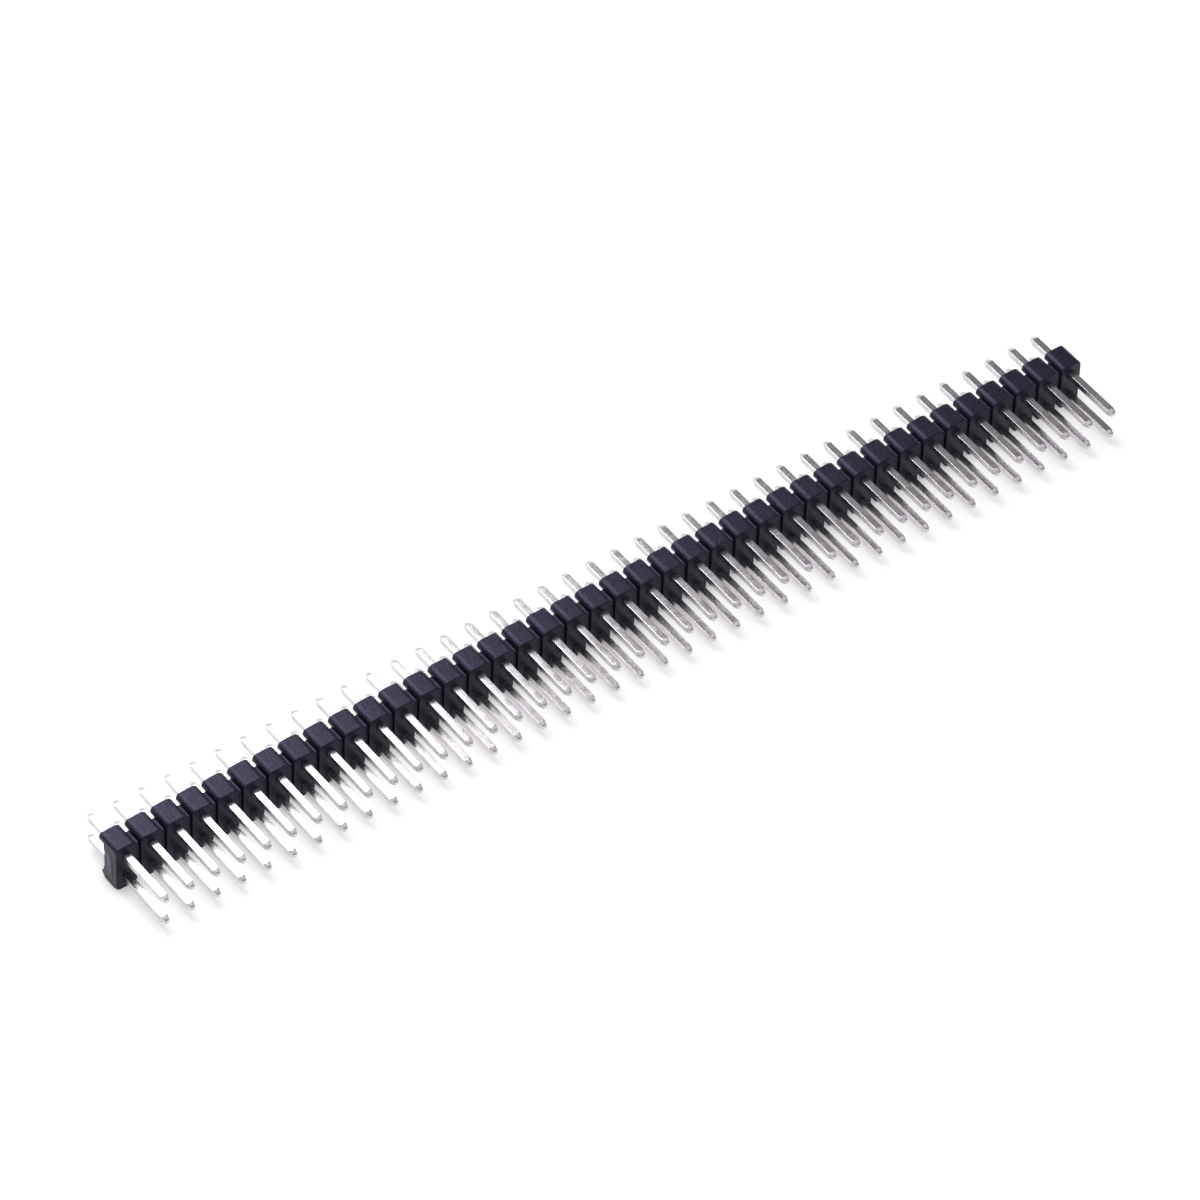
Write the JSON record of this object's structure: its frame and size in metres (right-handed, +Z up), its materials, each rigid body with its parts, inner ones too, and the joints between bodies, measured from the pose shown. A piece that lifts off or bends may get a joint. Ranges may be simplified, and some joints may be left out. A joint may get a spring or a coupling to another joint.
{
  "type": "pin header strip",
  "caption": "Straight strip of square metal pins in rows through a notched dark plastic insulator, with long mating ends on one side and short solder tails on the other.",
  "frame": {"origin": "midway along the strip and midway along the pins' length, on the surface that the strip's long side rests on", "axes": "+X along the strip, +Y along the pins towards the solder tails, +Z up, square to the long side that the strip lies on"},
  "size_m": [0.1012, 0.0116, 0.0049],
  "materials": {
    "insulator": "fine moulded satin",
    "pins": "bright tin plate over the base metal"
  },
  "bodies": {
    "root": {"insulator": "insulator", "pin_pair_01": "pins", "pin_pair_02": "pins", "pin_pair_03": "pins", "pin_pair_04": "pins", "pin_pair_05": "pins", "pin_pair_06": "pins", "pin_pair_07": "pins", "pin_pair_08": "pins", "pin_pair_09": "pins", "pin_pair_10": "pins", "pin_pair_11": "pins", "pin_pair_12": "pins", "pin_pair_13": "pins", "pin_pair_14": "pins", "pin_pair_15": "pins", "pin_pair_16": "pins", "pin_pair_17": "pins", "pin_pair_18": "pins", "pin_pair_19": "pins", "pin_pair_20": "pins", "pin_pair_21": "pins", "pin_pair_22": "pins", "pin_pair_23": "pins", "pin_pair_24": "pins", "pin_pair_25": "pins", "pin_pair_26": "pins", "pin_pair_27": "pins", "pin_pair_28": "pins", "pin_pair_29": "pins", "pin_pair_30": "pins", "pin_pair_31": "pins", "pin_pair_32": "pins", "pin_pair_33": "pins", "pin_pair_34": "pins", "pin_pair_35": "pins", "pin_pair_36": "pins", "pin_pair_37": "pins", "pin_pair_38": "pins", "pin_pair_39": "pins", "pin_pair_40": "pins"}
  },
  "joints": []
}
